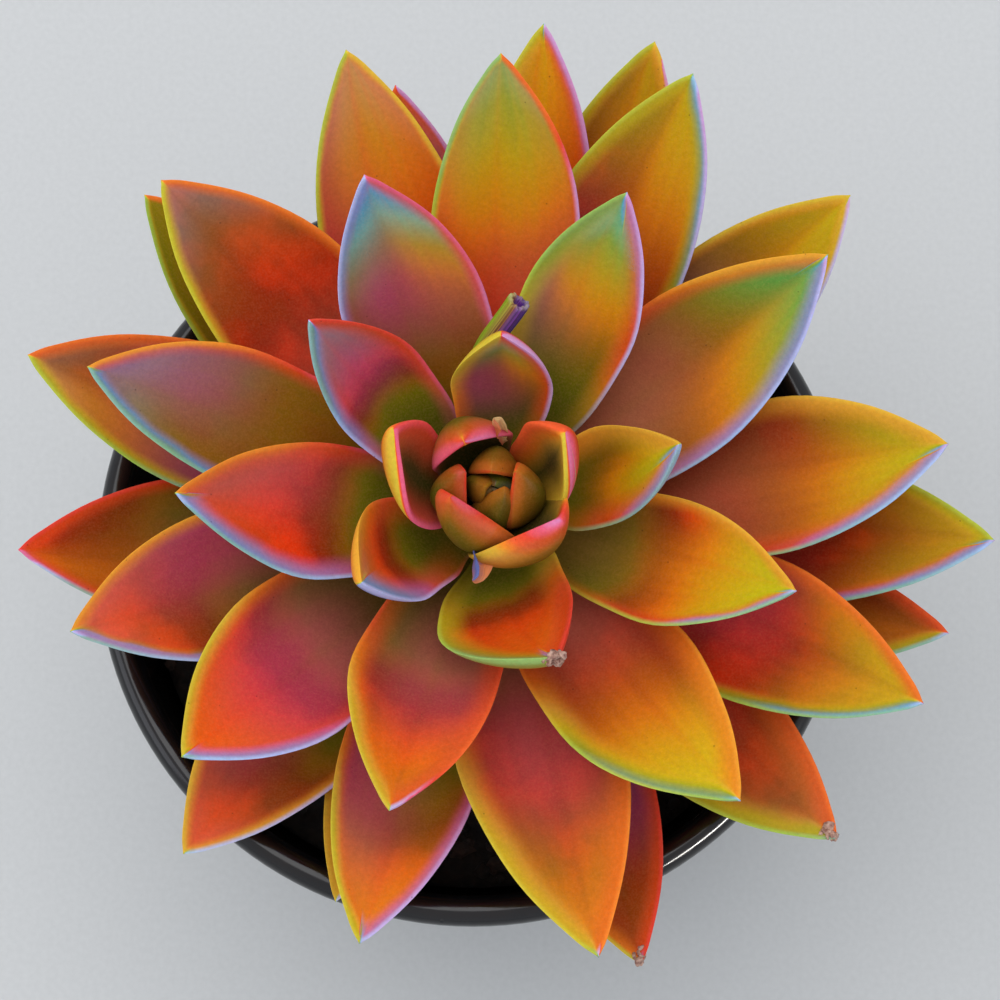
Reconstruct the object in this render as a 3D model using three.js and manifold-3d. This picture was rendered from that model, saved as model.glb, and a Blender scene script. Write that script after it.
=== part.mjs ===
// A chameleon echeveria in its round pot: thirty-six leaves round a short leaning stem, with the
// young heart on top, the stub of a cut flower stalk, the soil and the glazed pot.
// Millimetres, +Z up. The origin is the centre of the pot's flat underside.
import * as THREE from "three";
import { mergeVertices } from "three/addons/utils/BufferGeometryUtils.js";
import Module from "manifold-3d";

const wasm = await Module();
wasm.setup();

// Pot
const POT_HEIGHT = 100;
const POT_RIM_RADIUS = 60;
const POT_FOOT_RADIUS = 43;
const POT_NECK = 90;
const POT_NECK_RADIUS = 58.6;
const POT_WALL = 3.8;
const LIP_THICKNESS = 5;
const LIP_RISE = 3;
const LIP_STEPS = 8;
const POT_FLOOR = 6;
const POT_SEGMENTS = 64;

// Soil
const SOIL_LEVEL = 84;
const SOIL_DOME = 2.5;
const SOIL_LUMP = 0.7;
const SOIL_RINGS = 8;
const SOIL_SEGMENTS = 40;

// What touches is kept this far apart
const GAP = 0.35;

// Plant: it stands a little off the pot's centre and leans towards -Y
const STEM_FOOT = new THREE.Vector3(3.2, 5, 92);
const LEAN = THREE.MathUtils.degToRad(7);
const STEM_ROOT = -34;
const STEM_TOP = 37.6;
const STEM_RADIUS = 8;
const STEM_TIP_RADIUS = 4.6;
const STEM_SEGMENTS = 24;
const STEM_HOLE = STEM_RADIUS + GAP;

// Cut flower stalk, from beside the stem to its cut end
const STALK_RADIUS = 1.75;
const STALK_PATH = [
  new THREE.Vector3(-2, 8, 34.3),
  new THREE.Vector3(-2, 14, 36.6),
  new THREE.Vector3(-1.8, 21, 40.6),
  new THREE.Vector3(4, 28.8, 48),
];

// Leaves stand round the stem a fixed turn apart, the youngest highest
const TURN = 138.2;
const FIRST_TURN = 88;
const YOUNGEST_BASE = 37;
const OLDEST_BASE = 5;
const YOUNG_THICKNESS = 3.2;
const LEAF_THICKNESS = 4.2;
const LEAF_CUP = 0.2;
const LEAF_SEAT = 0.6;

// One row a leaf, youngest first: where its tip points (degrees from +X), how far the tip is from
// the stem's axis, how high it is over the foot, the leaf's width, how far its middle is bent
// sideways, the share of its length where it is widest, and how far its middle sags.
const LEAVES = [
  [87, 22, 58, 14.7, -1, 0.6, 7],
  [215, 22.5, 57, 16, -4, 0.55, 7],
  [14, 27, 58, 14.2, -0.6, 0.5, 6],
  [137, 35.5, 57, 15.5, -1, 0.58, 6],
  [291, 25, 56, 20.4, -7.5, 0.49, 7],
  [66, 47, 55, 18, 0, 0.6, 6],
  [180, 45, 54, 20, 1, 0.54, 6],
  [342, 45, 54, 19, -0.4, 0.54, 6],
  [112, 49, 55, 21, 0, 0.6, 6],
  [252, 47, 54, 21.5, -3, 0.56, 6],
  [36, 60, 48, 23.5, -2, 0.55, 5.5],
  [162, 62, 46, 20, -2, 0.62, 2.8],
  [309, 56, 48, 23.5, -4, 0.57, 5],
  [89, 65, 48, 22, -2, 0.62, 4.5],
  [220, 58, 48, 24, -2, 0.63, 5],
  [7, 67, 43, 23, -1, 0.62, 4.5],
  [136, 68, 43, 23.5, -1, 0.6, 3.3],
  [283, 68, 40, 25, -2, 0.53, 4],
  [65, 70, 42, 23, 1, 0.6, 4.5],
  [197, 65, 38, 23, -1, 0.6, 4],
  [335, 70, 36, 22.5, 0, 0.6, 2.5],
  [108, 71, 40, 23, 2.5, 0.57, 4.6],
  [253, 68, 30, 21.5, -1, 0.6, 3],
  [41, 71, 35, 22, 0, 0.6, 4],
  [162, 73.5, 33, 22.5, 0, 0.6, 2.5],
  [316, 71.5, 28, 22, -1, 0.6, 2.5],
  [84, 73, 36, 19.5, -1, 0.6, 3],
  [228, 70, 24, 22.5, -1, 0.6, 3],
  [356, 75, 33, 23, 0, 0.6, 3],
  [138, 71.5, 29, 20, 4.5, 0.58, 4.5],
  [288, 72, 24, 21.5, 2, 0.6, 4],
  [71, 76, 28, 21.5, 0, 0.6, 3.5],
  [185, 72, 28, 23, 3, 0.6, 3],
  [345, 72, 22, 19, -2, 0.6, 3],
  [103, 67, 27, 17, -1, 0.6, 3],
  [248, 64, 21, 16, -3, 0.6, 3.5],
];

// Heart: the growing tip and its young leaves, which arch in over it. One row a leaf: where it
// stands, how far its belly is from the axis, where its tip leans, how far the tip is from the
// axis, how high the tip is, and the leaf's width.
const HEART_FOOT = STEM_TOP + GAP;
const HEART_BASE = 41;
const HEART_STEP = 0.35;
const HEART_BASE_RADIUS = 1.6;
const HEART_THICKNESS = 2.4;
const HEART_CUP = 0.45;
const HEART = [
  [303, 8.8, 337, 10.5, 58.5, 15],
  [167, 12.3, 148, 16.4, 59.5, 13.5],
  [28, 10.1, 39, 13, 59.5, 12.5],
  [236, 6.5, 188, 6, 58.5, 12.8],
  [116, 9.2, 121, 7.8, 59, 12.4],
  [352, 5, 40, 4.2, 57.5, 9],
  [186, 6.4, 146, 4.8, 57.5, 8.5],
  [86, 4.6, 95, 2.9, 56.5, 7.5],
  [275, 3, 20, 1.8, 56, 6.5],
  [150, 2.2, 150, 1.4, 55.5, 5],
];

// Two dried scales left in the heart
const DRY_THICKNESS = 0.9;
const DRY_SCALES = [
  { root: new THREE.Vector3(2.6, 5, 48), end: new THREE.Vector3(-0.4, 10.6, 58.6), width: 3 },
  { root: new THREE.Vector3(-0.8, -4, 46), end: new THREE.Vector3(-2.8, -12.6, 53.4), width: 3.2 },
];

// A leaf's outline: share of its length, share of its half width, share of its thickness
const OUTLINE = [
  [0, 0.42, 0.8],
  [0.12, 0.54, 0.88],
  [0.26, 0.82, 0.97],
  [0.42, 0.96, 1],
  [0.6, 1, 0.95],
  [0.74, 0.84, 0.85],
  [0.86, 0.57, 0.68],
  [0.94, 0.29, 0.45],
  [0.98, 0.12, 0.26],
];
const OUTLINE_WIDEST = 0.6;

// The ring of a leaf's section: place across it, and share of the thickness below the top face
const SECTION = [
  [-1, 0],
  [-0.5, 0],
  [0, 0],
  [0.5, 0],
  [1, 0],
  [0.72, 0.66],
  [0, 1],
  [-0.72, 0.66],
];

const rad = THREE.MathUtils.degToRad;
const lerp = THREE.MathUtils.lerp;
const along = (angle, radius, height) =>
  new THREE.Vector3(radius * Math.cos(angle), radius * Math.sin(angle), height);

// From the plant's own frame, whose +Z is the stem, to the pot's
const PLANT = new THREE.Matrix4().makeRotationX(LEAN).setPosition(STEM_FOOT);

function solidFrom(geometry) {
  const bare = new THREE.BufferGeometry();
  const loose = geometry.index ? geometry.toNonIndexed() : geometry;
  bare.setAttribute("position", loose.getAttribute("position"));
  const merged = mergeVertices(bare, 1e-4);
  return new wasm.Manifold(
    new wasm.Mesh({
      numProp: 3,
      vertProperties: new Float32Array(merged.attributes.position.array),
      triVerts: new Uint32Array(merged.index.array),
    }),
  );
}

function geometryFrom(solid) {
  const mesh = solid.getMesh();
  const step = mesh.numProp;
  const points = new Float32Array(mesh.numVert * 3);
  for (let i = 0; i < mesh.numVert; i++) {
    points.set(mesh.vertProperties.subarray(i * step, i * step + 3), i * 3);
  }
  const geometry = new THREE.BufferGeometry();
  geometry.setAttribute("position", new THREE.BufferAttribute(points, 3));
  geometry.setIndex(new THREE.BufferAttribute(new Uint32Array(mesh.triVerts), 1));
  return geometry;
}

// A closed skin over rings of points that run round in the same sense, from a flat start to a point.
function skin(rings, point) {
  const count = rings[0].length;
  const vertices = rings.flat().concat(point);
  const faces = [];
  for (let k = 1; k < count - 1; k++) faces.push(0, k, k + 1);
  for (let r = 0; r + 1 < rings.length; r++) {
    for (let k = 0; k < count; k++) {
      const next = (k + 1) % count;
      const a = r * count + k;
      const b = r * count + next;
      const c = a + count;
      const d = b + count;
      faces.push(a, c, b, b, c, d);
    }
  }
  const last = (rings.length - 1) * count;
  for (let k = 0; k < count; k++) {
    faces.push(last + k, vertices.length - 1, last + ((k + 1) % count));
  }
  const geometry = new THREE.BufferGeometry().setFromPoints(vertices);
  geometry.setIndex(faces);
  return geometry;
}

// A leaf from its base to its tip. Its middle line bends once, towards `bend`. A flat base stands
// along the stem; any other is square to the leaf.
function leafGeometry(leaf) {
  const { base, bend, tip, side, width, widest, thickness, cup, flatBase } = leaf;
  const warp = Math.log(widest) / Math.log(OUTLINE_WIDEST);
  const up = new THREE.Vector3(0, 0, 1);
  const rings = OUTLINE.map(([share, half, thick]) => {
    const s = share ** warp;
    const middle = new THREE.Vector3()
      .addScaledVector(base, (1 - s) ** 2)
      .addScaledVector(bend, 2 * s * (1 - s))
      .addScaledVector(tip, s * s);
    const run = new THREE.Vector3()
      .addScaledVector(bend.clone().sub(base), 1 - s)
      .addScaledVector(tip.clone().sub(bend), s)
      .normalize();
    const out = run.clone().cross(side).normalize();
    if (flatBase) out.lerp(up, Math.max(0, 1 - s / 0.2)).normalize();
    const reach = (half * width) / 2;
    return SECTION.map(([across, below]) =>
      middle
        .clone()
        .addScaledVector(side, across * reach)
        .addScaledVector(out, cup * reach * across * across - below * thick * thickness),
    );
  });
  return skin(rings, tip.clone());
}

function leafPlan(row, order) {
  const [azimuth, reach, rise, width, sway, widest, sag] = row;
  const age = order / (LEAVES.length - 1);
  const foot = rad(FIRST_TURN + TURN * order);
  const footRadius = lerp(STEM_TIP_RADIUS, STEM_RADIUS, Math.min(1, 2 * age)) + LEAF_SEAT;
  const base = along(foot, footRadius, lerp(YOUNGEST_BASE, OLDEST_BASE, age));
  const tip = along(rad(azimuth), reach, rise);
  const plan = new THREE.Vector3(tip.x - base.x, tip.y - base.y, 0).normalize();
  const side = new THREE.Vector3(-plan.y, plan.x, 0);
  const chord = tip.clone().sub(base).normalize();
  const down = side.clone().cross(chord);
  if (down.z > 0) down.negate();
  const bend = base
    .clone()
    .lerp(tip, 0.5)
    .addScaledVector(down, sag)
    .addScaledVector(side, sway);
  return {
    base,
    bend,
    tip,
    side,
    width,
    widest,
    thickness: lerp(YOUNG_THICKNESS, LEAF_THICKNESS, Math.min(1, 3 * age)),
    cup: LEAF_CUP,
    flatBase: true,
  };
}

// The heart's leaves stand up round the growing tip and arch in over it, with their bases inside it.
function heartLeafPlan([stand, belly, lean, reach, rise, width], order) {
  const base = along(rad(stand), HEART_BASE_RADIUS, HEART_BASE + order * HEART_STEP);
  const tip = along(rad(lean), reach, rise);
  const out = along(rad(stand), 1, 0);
  const middle = base.clone().lerp(tip, 0.5);
  const bellyPoint = out.clone().multiplyScalar(belly).setZ(middle.z);
  return {
    base,
    bend: bellyPoint.multiplyScalar(2).sub(middle),
    tip,
    side: new THREE.Vector3(-out.y, out.x, 0),
    width,
    widest: 0.6,
    thickness: HEART_THICKNESS,
    cup: HEART_CUP,
    flatBase: false,
  };
}

const lathe = (profile, segments) =>
  new THREE.LatheGeometry(
    profile.map(([radius, height]) => new THREE.Vector2(radius, height)),
    segments,
  ).rotateX(Math.PI / 2);

function heartGeometry() {
  const core = [
    [0, HEART_FOOT],
    [STEM_TIP_RADIUS - 0.6, HEART_FOOT],
    [STEM_TIP_RADIUS - 0.8, HEART_FOOT + 4],
    [3, HEART_FOOT + 9],
    [1.2, HEART_FOOT + 13],
    [0, HEART_FOOT + 14],
  ];
  let heart = solidFrom(lathe(core, 16));
  HEART.forEach((row, order) => {
    heart = heart.add(solidFrom(leafGeometry(heartLeafPlan(row, order))));
  });
  DRY_SCALES.forEach(({ root, end, width }) => {
    heart = heart.add(solidFrom(scaleGeometry(root, end, width)));
  });
  // The young leaves close small pockets between them; the outer skin alone fills these
  const skins = heart.decompose().sort((a, b) => b.volume() - a.volume());
  return geometryFrom(skins[0]).applyMatrix4(PLANT);
}

// A dried scale: a flat pointed blade from its root inside the heart to its free end.
function scaleGeometry(root, end, width) {
  const run = end.clone().sub(root).normalize();
  const side = new THREE.Vector3(0, 0, 1).cross(run).normalize();
  const out = run.clone().cross(side);
  const corners = [[-1, 0], [0, 0.5], [1, 0], [0, -0.5]];
  const rings = [[0, 0.5], [0.55, 1], [0.85, 0.8]].map(([share, half]) =>
    corners.map(([across, over]) =>
      root
        .clone()
        .lerp(end, share)
        .addScaledVector(side, (-across * half * width) / 2)
        .addScaledVector(out, over * DRY_THICKNESS),
    ),
  );
  return skin(rings, end.clone());
}

function stemGeometry() {
  const shift = LEAF_THICKNESS * 0.85;
  const shoulder = lerp(YOUNGEST_BASE, OLDEST_BASE, 0.5) - shift;
  const profile = [
    [0, STEM_ROOT],
    [STEM_RADIUS - 3, STEM_ROOT],
    [STEM_RADIUS - 1.2, STEM_ROOT + 16],
    [STEM_RADIUS, OLDEST_BASE - shift],
    [STEM_RADIUS, shoulder],
    [STEM_TIP_RADIUS, YOUNGEST_BASE - shift],
    [STEM_TIP_RADIUS - 0.4, STEM_TOP],
    [0, STEM_TOP],
  ];
  return lathe(profile, STEM_SEGMENTS).applyMatrix4(PLANT);
}

// The cut flower stalk: a bent round rod between its places in the plant's frame, cut square.
function stalkGeometry() {
  const curve = new THREE.CatmullRomCurve3(STALK_PATH);
  const round = new THREE.Shape().absarc(0, 0, STALK_RADIUS, 0, 2 * Math.PI);
  const rod = new THREE.ExtrudeGeometry(round, {
    steps: 8,
    curveSegments: 6,
    bevelEnabled: false,
    extrudePath: curve,
  });
  return rod.applyMatrix4(PLANT);
}

// The wall's inner face at a height
const innerRadius = (height) =>
  lerp(POT_FOOT_RADIUS, POT_NECK_RADIUS, height / POT_NECK) - POT_WALL;

function potGeometry() {
  const lip = [];
  const middle = POT_RIM_RADIUS - LIP_THICKNESS / 2;
  for (let k = 0; k <= LIP_STEPS; k++) {
    const turn = (Math.PI * k) / LIP_STEPS;
    lip.push([
      middle + (LIP_THICKNESS / 2) * Math.cos(turn),
      POT_HEIGHT - LIP_RISE + LIP_RISE * Math.sin(turn),
    ]);
  }
  const profile = [
    [0, 0],
    [POT_FOOT_RADIUS - 1.5, 0],
    [POT_FOOT_RADIUS, 1.5],
    [POT_NECK_RADIUS, POT_NECK],
    ...lip,
    [innerRadius(POT_NECK), POT_NECK],
    [innerRadius(POT_FLOOR + 3), POT_FLOOR + 3],
    [innerRadius(POT_FLOOR) - 3, POT_FLOOR],
    [0, POT_FLOOR],
  ];
  return lathe(profile, POT_SEGMENTS);
}

// Lumps of soil, by a smooth rule of the place
const lump = (x, y) =>
  Math.sin(x * 0.55 + 1.3) * Math.cos(y * 0.47) + 0.6 * Math.sin(x * 0.9 - y * 0.8 + 2);

function soilGeometry() {
  const edge = innerRadius(SOIL_LEVEL) - GAP;
  const profile = [
    [0, POT_FLOOR + GAP],
    [innerRadius(POT_FLOOR) - 3 - GAP, POT_FLOOR + GAP],
    [innerRadius(POT_FLOOR + 3) - GAP, POT_FLOOR + 3 + GAP],
    [edge, SOIL_LEVEL],
  ];
  for (let k = 1; k <= SOIL_RINGS; k++) {
    const share = 1 - k / SOIL_RINGS;
    profile.push([edge * share, SOIL_LEVEL + SOIL_DOME * (1 - share * share)]);
  }
  const soil = lathe(profile, SOIL_SEGMENTS);
  const place = soil.getAttribute("position");
  for (let i = 0; i < place.count; i++) {
    const [x, y, z] = [place.getX(i), place.getY(i), place.getZ(i)];
    const inside = Math.min(1, (edge - Math.hypot(x, y)) / 6);
    if (z > SOIL_LEVEL - 0.1) place.setZ(i, z + SOIL_LUMP * lump(x, y) * Math.max(0, inside));
  }
  const hole = new THREE.CylinderGeometry(STEM_HOLE, STEM_HOLE, 90, STEM_SEGMENTS)
    .rotateX(Math.PI / 2)
    .translate(0, 0, STEM_ROOT - GAP + 45)
    .applyMatrix4(PLANT);
  return geometryFrom(solidFrom(soil).subtract(solidFrom(hole)));
}

const root = new THREE.Group();
const finish = {
  leaf: new THREE.MeshStandardMaterial({ color: "#b8502a", roughness: 0.55, metalness: 0 }),
  stem: new THREE.MeshStandardMaterial({ color: "#6d5a3a", roughness: 0.8, metalness: 0 }),
  soil: new THREE.MeshStandardMaterial({ color: "#2e2620", roughness: 0.95, metalness: 0 }),
  pot: new THREE.MeshStandardMaterial({ color: "#16171a", roughness: 0.2, metalness: 0 }),
};

function place(name, geometry, material) {
  geometry.computeVertexNormals();
  const mesh = new THREE.Mesh(geometry, material);
  mesh.name = name;
  root.add(mesh);
}

LEAVES.forEach((row, order) => {
  const name = "leaf_" + String(order + 1).padStart(2, "0");
  place(name, leafGeometry(leafPlan(row, order)).applyMatrix4(PLANT), finish.leaf);
});

place("heart", heartGeometry(), finish.leaf);
place("stem", stemGeometry(), finish.stem);
place("flower_stalk_stub", stalkGeometry(), finish.stem);
place("soil", soilGeometry(), finish.soil);
place("pot", potGeometry(), finish.pot);

export default root;
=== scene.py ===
# %% [markdown]
# # A potted chameleon echeveria
# The plant is a rosette of fleshy, pointed leaves on a short stem, in a round black glazed pot.
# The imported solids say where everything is. This script puts finished pieces in their places: a
# leaf is modelled once and bent along each leaf's own middle line, and the pot, the soil, the stem
# and the cut flower stalk are each modelled as what they are.

import math
import random

import bpy
import numpy as np
from mathutils import Matrix, Vector, noise


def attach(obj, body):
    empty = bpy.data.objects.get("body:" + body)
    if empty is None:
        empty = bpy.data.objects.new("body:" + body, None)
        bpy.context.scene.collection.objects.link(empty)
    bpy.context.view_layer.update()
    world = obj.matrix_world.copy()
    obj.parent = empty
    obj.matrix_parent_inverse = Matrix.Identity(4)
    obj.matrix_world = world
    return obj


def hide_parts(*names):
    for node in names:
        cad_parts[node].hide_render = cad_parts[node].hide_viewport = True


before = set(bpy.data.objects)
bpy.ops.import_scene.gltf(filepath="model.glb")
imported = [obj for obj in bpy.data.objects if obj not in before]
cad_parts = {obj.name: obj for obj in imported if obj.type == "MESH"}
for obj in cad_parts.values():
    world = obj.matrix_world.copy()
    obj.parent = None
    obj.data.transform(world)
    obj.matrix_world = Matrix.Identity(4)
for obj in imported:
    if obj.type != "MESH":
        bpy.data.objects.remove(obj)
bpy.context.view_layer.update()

# %% [markdown]
# ## Helpers
# Blender's shaders want linear colours, while colours are picked as sRGB hex values, so one
# function turns one into the other. Another adds a shader node with its settings and its links,
# and the smaller ones add the nodes that every material needs, so that a material reads as a list
# of steps.

# %% Colour and node helpers
MM = 0.001


def linear(code):
    """The linear RGBA numbers of an sRGB hex colour."""
    channels = [int(code[i : i + 2], 16) / 255 for i in (1, 3, 5)]
    return [c / 12.92 if c <= 0.04045 else ((c + 0.055) / 1.055) ** 2.4 for c in channels] + [1.0]


def add_node(tree, kind, inputs=None, **settings):
    """Adds a node. An input is a value, a node (its first output) or a (node, output) pair."""
    made = tree.nodes.new("ShaderNode" + kind)
    for name, value in settings.items():
        if name == "stops":
            ramp = made.color_ramp
            while len(ramp.elements) < len(value):
                ramp.elements.new(0.5)
            for element, (place, code) in zip(ramp.elements, value):
                element.position = place
                element.color = linear(code)
        else:
            setattr(made, name, value)
    for name, value in (inputs or {}).items():
        if isinstance(value, bpy.types.Node):
            value = value.outputs[0]
        elif isinstance(value, tuple) and isinstance(value[0], bpy.types.Node):
            value = value[0].outputs[value[1]]
        if isinstance(value, bpy.types.NodeSocket):
            tree.links.new(value, made.inputs[name])
        else:
            made.inputs[name].default_value = value
    return made


def new_material(name):
    """An empty node material, and its tree."""
    material = bpy.data.materials.new(name)
    material.use_nodes = True
    material.node_tree.nodes.clear()
    return material, material.node_tree


def give_surface(material, inputs):
    """Ends a material in its one shader."""
    tree = material.node_tree
    shader = add_node(tree, "BsdfPrincipled", inputs)
    output = tree.nodes.new("ShaderNodeOutputMaterial")
    tree.links.new(shader.outputs[0], output.inputs[0])
    return material


def object_place(tree):
    return add_node(tree, "TexCoord"), "Object"


def blotches(tree, where, size, detail, roughness=0.5):
    """Noise with features about `size` millimetres wide."""
    inputs = {"Vector": where, "Scale": 1 / (size * MM), "Detail": detail, "Roughness": roughness}
    return add_node(tree, "TexNoise", inputs)


def remap(tree, value, old, new, kind="LINEAR"):
    """Turns one range of a value into another, and holds it at both ends."""
    inputs = {0: value, 1: old[0], 2: old[1], 3: new[0], 4: new[1]}
    return add_node(tree, "MapRange", inputs, interpolation_type=kind)


# %% [markdown]
# ## Working with operators
# An operator acts on everything that is selected, so each new piece starts with nothing selected.
# A finished piece gets its material and its smooth shading, rides on the part's one body, and hides
# the solids that it stands for.

# %% Modelling helpers
def deselect():
    if bpy.context.object and bpy.context.object.mode != "OBJECT":
        bpy.ops.object.mode_set(mode="OBJECT")
    bpy.ops.object.select_all(action="DESELECT")


def select_vertices(piece, wanted):
    """Selects, in edit mode, the vertices that `wanted` says yes to."""
    bpy.ops.object.mode_set(mode="EDIT")
    bpy.ops.mesh.select_mode(type="VERT")
    bpy.ops.mesh.select_all(action="DESELECT")
    bpy.ops.object.mode_set(mode="OBJECT")
    for vertex in piece.data.vertices:
        vertex.select = bool(wanted(vertex.co))
    bpy.ops.object.mode_set(mode="EDIT")


def subdivide_smoothly(piece, levels):
    bpy.ops.object.mode_set(mode="OBJECT")
    smooth = piece.modifiers.new("rounding", "SUBSURF")
    smooth.levels = smooth.render_levels = levels
    bpy.ops.object.modifier_apply(modifier=smooth.name)


def points_of(mesh):
    co = np.zeros(len(mesh.vertices) * 3)
    mesh.vertices.foreach_get("co", co)
    return co.reshape(-1, 3)


def set_points(mesh, points):
    mesh.vertices.foreach_set("co", np.asarray(points, float).ravel())
    mesh.update()


def new_piece(name, mesh):
    piece = bpy.data.objects.new(name, mesh)
    bpy.context.collection.objects.link(piece)
    return piece


def place(piece, name, material, slot, *nodes):
    piece.name = piece.data.name = name
    piece.data.materials.clear()
    piece.data.materials.append(material)
    piece.data.polygons.foreach_set("use_smooth", [True] * len(piece.data.polygons))
    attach(piece, "root")
    if nodes:
        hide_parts(*nodes)
    return piece


# %% [markdown]
# ## The plan of the plant
# Leaves stand round a stem a fixed turn apart, the youngest highest, as in every rosette. These
# are the same named values as in the part's solids, in millimetres. The plant's own frame has its
# +Z up the stem, and `PLANT` leans it and stands it in the pot.

# %% Stem, leaves and their rows
STEM_FOOT = (3.2, 5, 92)
LEAN = math.radians(7)
PLANT = Matrix.Translation(STEM_FOOT) @ Matrix.Rotation(LEAN, 4, "X")
STEM_TOP = 37.6
STEM_RADIUS = 8
STEM_TIP_RADIUS = 4.6
TURN, FIRST_TURN = 138.2, 88
YOUNGEST_BASE, OLDEST_BASE = 37, 5
YOUNG_THICKNESS, LEAF_THICKNESS = 3.2, 4.2
LEAF_CUP, LEAF_SEAT = 0.2, 0.6

# One row a leaf, youngest first: where its tip points (degrees from +X), how far the tip is from
# the stem's axis, how high it is over the foot, the leaf's width, how far its middle is bent
# sideways, the share of its length where it is widest, and how far its middle sags.
LEAVES = [
    (87, 22, 58, 14.7, -1, 0.6, 7),
    (215, 22.5, 57, 16, -4, 0.55, 7),
    (14, 27, 58, 14.2, -0.6, 0.5, 6),
    (137, 35.5, 57, 15.5, -1, 0.58, 6),
    (291, 25, 56, 20.4, -7.5, 0.49, 7),
    (66, 47, 55, 18, 0, 0.6, 6),
    (180, 45, 54, 20, 1, 0.54, 6),
    (342, 45, 54, 19, -0.4, 0.54, 6),
    (112, 49, 55, 21, 0, 0.6, 6),
    (252, 47, 54, 21.5, -3, 0.56, 6),
    (36, 60, 48, 23.5, -2, 0.55, 5.5),
    (162, 62, 46, 20, -2, 0.62, 2.8),
    (309, 56, 48, 23.5, -4, 0.57, 5),
    (89, 65, 48, 22, -2, 0.62, 4.5),
    (220, 58, 48, 24, -2, 0.63, 5),
    (7, 67, 43, 23, -1, 0.62, 4.5),
    (136, 68, 43, 23.5, -1, 0.6, 3.3),
    (283, 68, 40, 25, -2, 0.53, 4),
    (65, 70, 42, 23, 1, 0.6, 4.5),
    (197, 65, 38, 23, -1, 0.6, 4),
    (335, 70, 36, 22.5, 0, 0.6, 2.5),
    (108, 71, 40, 23, 2.5, 0.57, 4.6),
    (253, 68, 30, 21.5, -1, 0.6, 3),
    (41, 71, 35, 22, 0, 0.6, 4),
    (162, 73.5, 33, 22.5, 0, 0.6, 2.5),
    (316, 71.5, 28, 22, -1, 0.6, 2.5),
    (84, 73, 36, 19.5, -1, 0.6, 3),
    (228, 70, 24, 22.5, -1, 0.6, 3),
    (356, 75, 33, 23, 0, 0.6, 3),
    (138, 71.5, 29, 20, 4.5, 0.58, 4.5),
    (288, 72, 24, 21.5, 2, 0.6, 4),
    (71, 76, 28, 21.5, 0, 0.6, 3.5),
    (185, 72, 28, 23, 3, 0.6, 3),
    (345, 72, 22, 19, -2, 0.6, 3),
    (103, 67, 27, 17, -1, 0.6, 3),
    (248, 64, 21, 16, -3, 0.6, 3.5),
]

# A leaf's outline: share of its length, share of its half width, share of its thickness
OUTLINE = np.array([
    (0, 0.42, 0.8), (0.12, 0.54, 0.88), (0.26, 0.82, 0.97), (0.42, 0.96, 1), (0.6, 1, 0.95),
    (0.74, 0.84, 0.85), (0.86, 0.57, 0.68), (0.94, 0.29, 0.45), (0.98, 0.12, 0.26), (1, 0, 0.1),
])
OUTLINE_WIDEST = 0.6


def smooth_curve(column, at):
    """Reads one column of the outline off a smooth curve through its points."""
    shares, values = OUTLINE[:, 0], OUTLINE[:, column]
    slopes = np.gradient(values, shares)
    k = np.clip(np.searchsorted(shares, at) - 1, 0, len(shares) - 2)
    span = shares[k + 1] - shares[k]
    t = np.clip((at - shares[k]) / span, 0, 1)
    rise = t * t * (3 - 2 * t)
    leave = t * (1 - t) ** 2 * span * slopes[k]
    arrive = t * t * (1 - t) * span * slopes[k + 1]
    return values[k] * (1 - rise) + values[k + 1] * rise + leave - arrive


print("leaves:", len(LEAVES))

# %% [markdown]
# ## One leaf, modelled once
# The real leaf is a water-filled blade: nearly flat on top, keeled below, with a thin crest along
# its margin and a hard point. It could be sculpted or drawn as curves. Here a disc is extruded
# station by station along the leaf and resized at each, as a potter would pull it, because that
# keeps clean rings of faces that bend well. The upper half is then pressed flat, the margin is
# creased so that rounding leaves it crisp, and the subdivision is applied.

# %% Model the leaf blank
RING = 16
TOP_SWELL = 0.1
MARGIN_CREASE = 0.6


def model_leaf_blank():
    deselect()
    bpy.ops.mesh.primitive_circle_add(
        vertices=RING, radius=1, fill_type="NGON", rotation=(math.pi / 2, 0, 0)
    )
    blank = bpy.context.object
    bpy.ops.object.transform_apply(location=False, rotation=True, scale=True)
    bpy.ops.object.mode_set(mode="EDIT")
    bpy.ops.mesh.select_all(action="SELECT")
    share, half, thick = OUTLINE[0]
    bpy.ops.transform.resize(value=(half, 1, thick), center_override=(0, 0, 0))
    for next_share, next_half, next_thick in OUTLINE[1:-1]:
        bpy.ops.mesh.extrude_region_move(
            TRANSFORM_OT_translate={"value": (0, next_share - share, 0)}
        )
        bpy.ops.transform.resize(
            value=(next_half / half, 1, next_thick / thick), center_override=(0, next_share, 0)
        )
        share, half, thick = next_share, next_half, next_thick
    bpy.ops.mesh.extrude_region_move(TRANSFORM_OT_translate={"value": (0, 1 - share, 0)})
    bpy.ops.mesh.merge(type="CENTER")
    select_vertices(blank, lambda co: co.z > 1e-4)
    bpy.ops.transform.resize(value=(1, 1, TOP_SWELL), center_override=(0, 0, 0))
    select_vertices(blank, lambda co: abs(co.z) < 1e-4 and abs(co.x) > 1e-4)
    bpy.ops.transform.edge_crease(value=MARGIN_CREASE)
    bpy.ops.mesh.select_all(action="SELECT")
    bpy.ops.mesh.normals_make_consistent(inside=False)
    subdivide_smoothly(blank, 2)
    return blank


leaf_blank = model_leaf_blank()
print("leaf blank:", len(leaf_blank.data.polygons), "faces")

# %% [markdown]
# Rounding pulls the blank in a little, so its points are turned into plain shares: how far across
# the leaf (-1 to 1), how far along it (0 to 1) and how deep below its top face. Every copy is then
# laid out from those, and its outline comes out exact.

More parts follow.
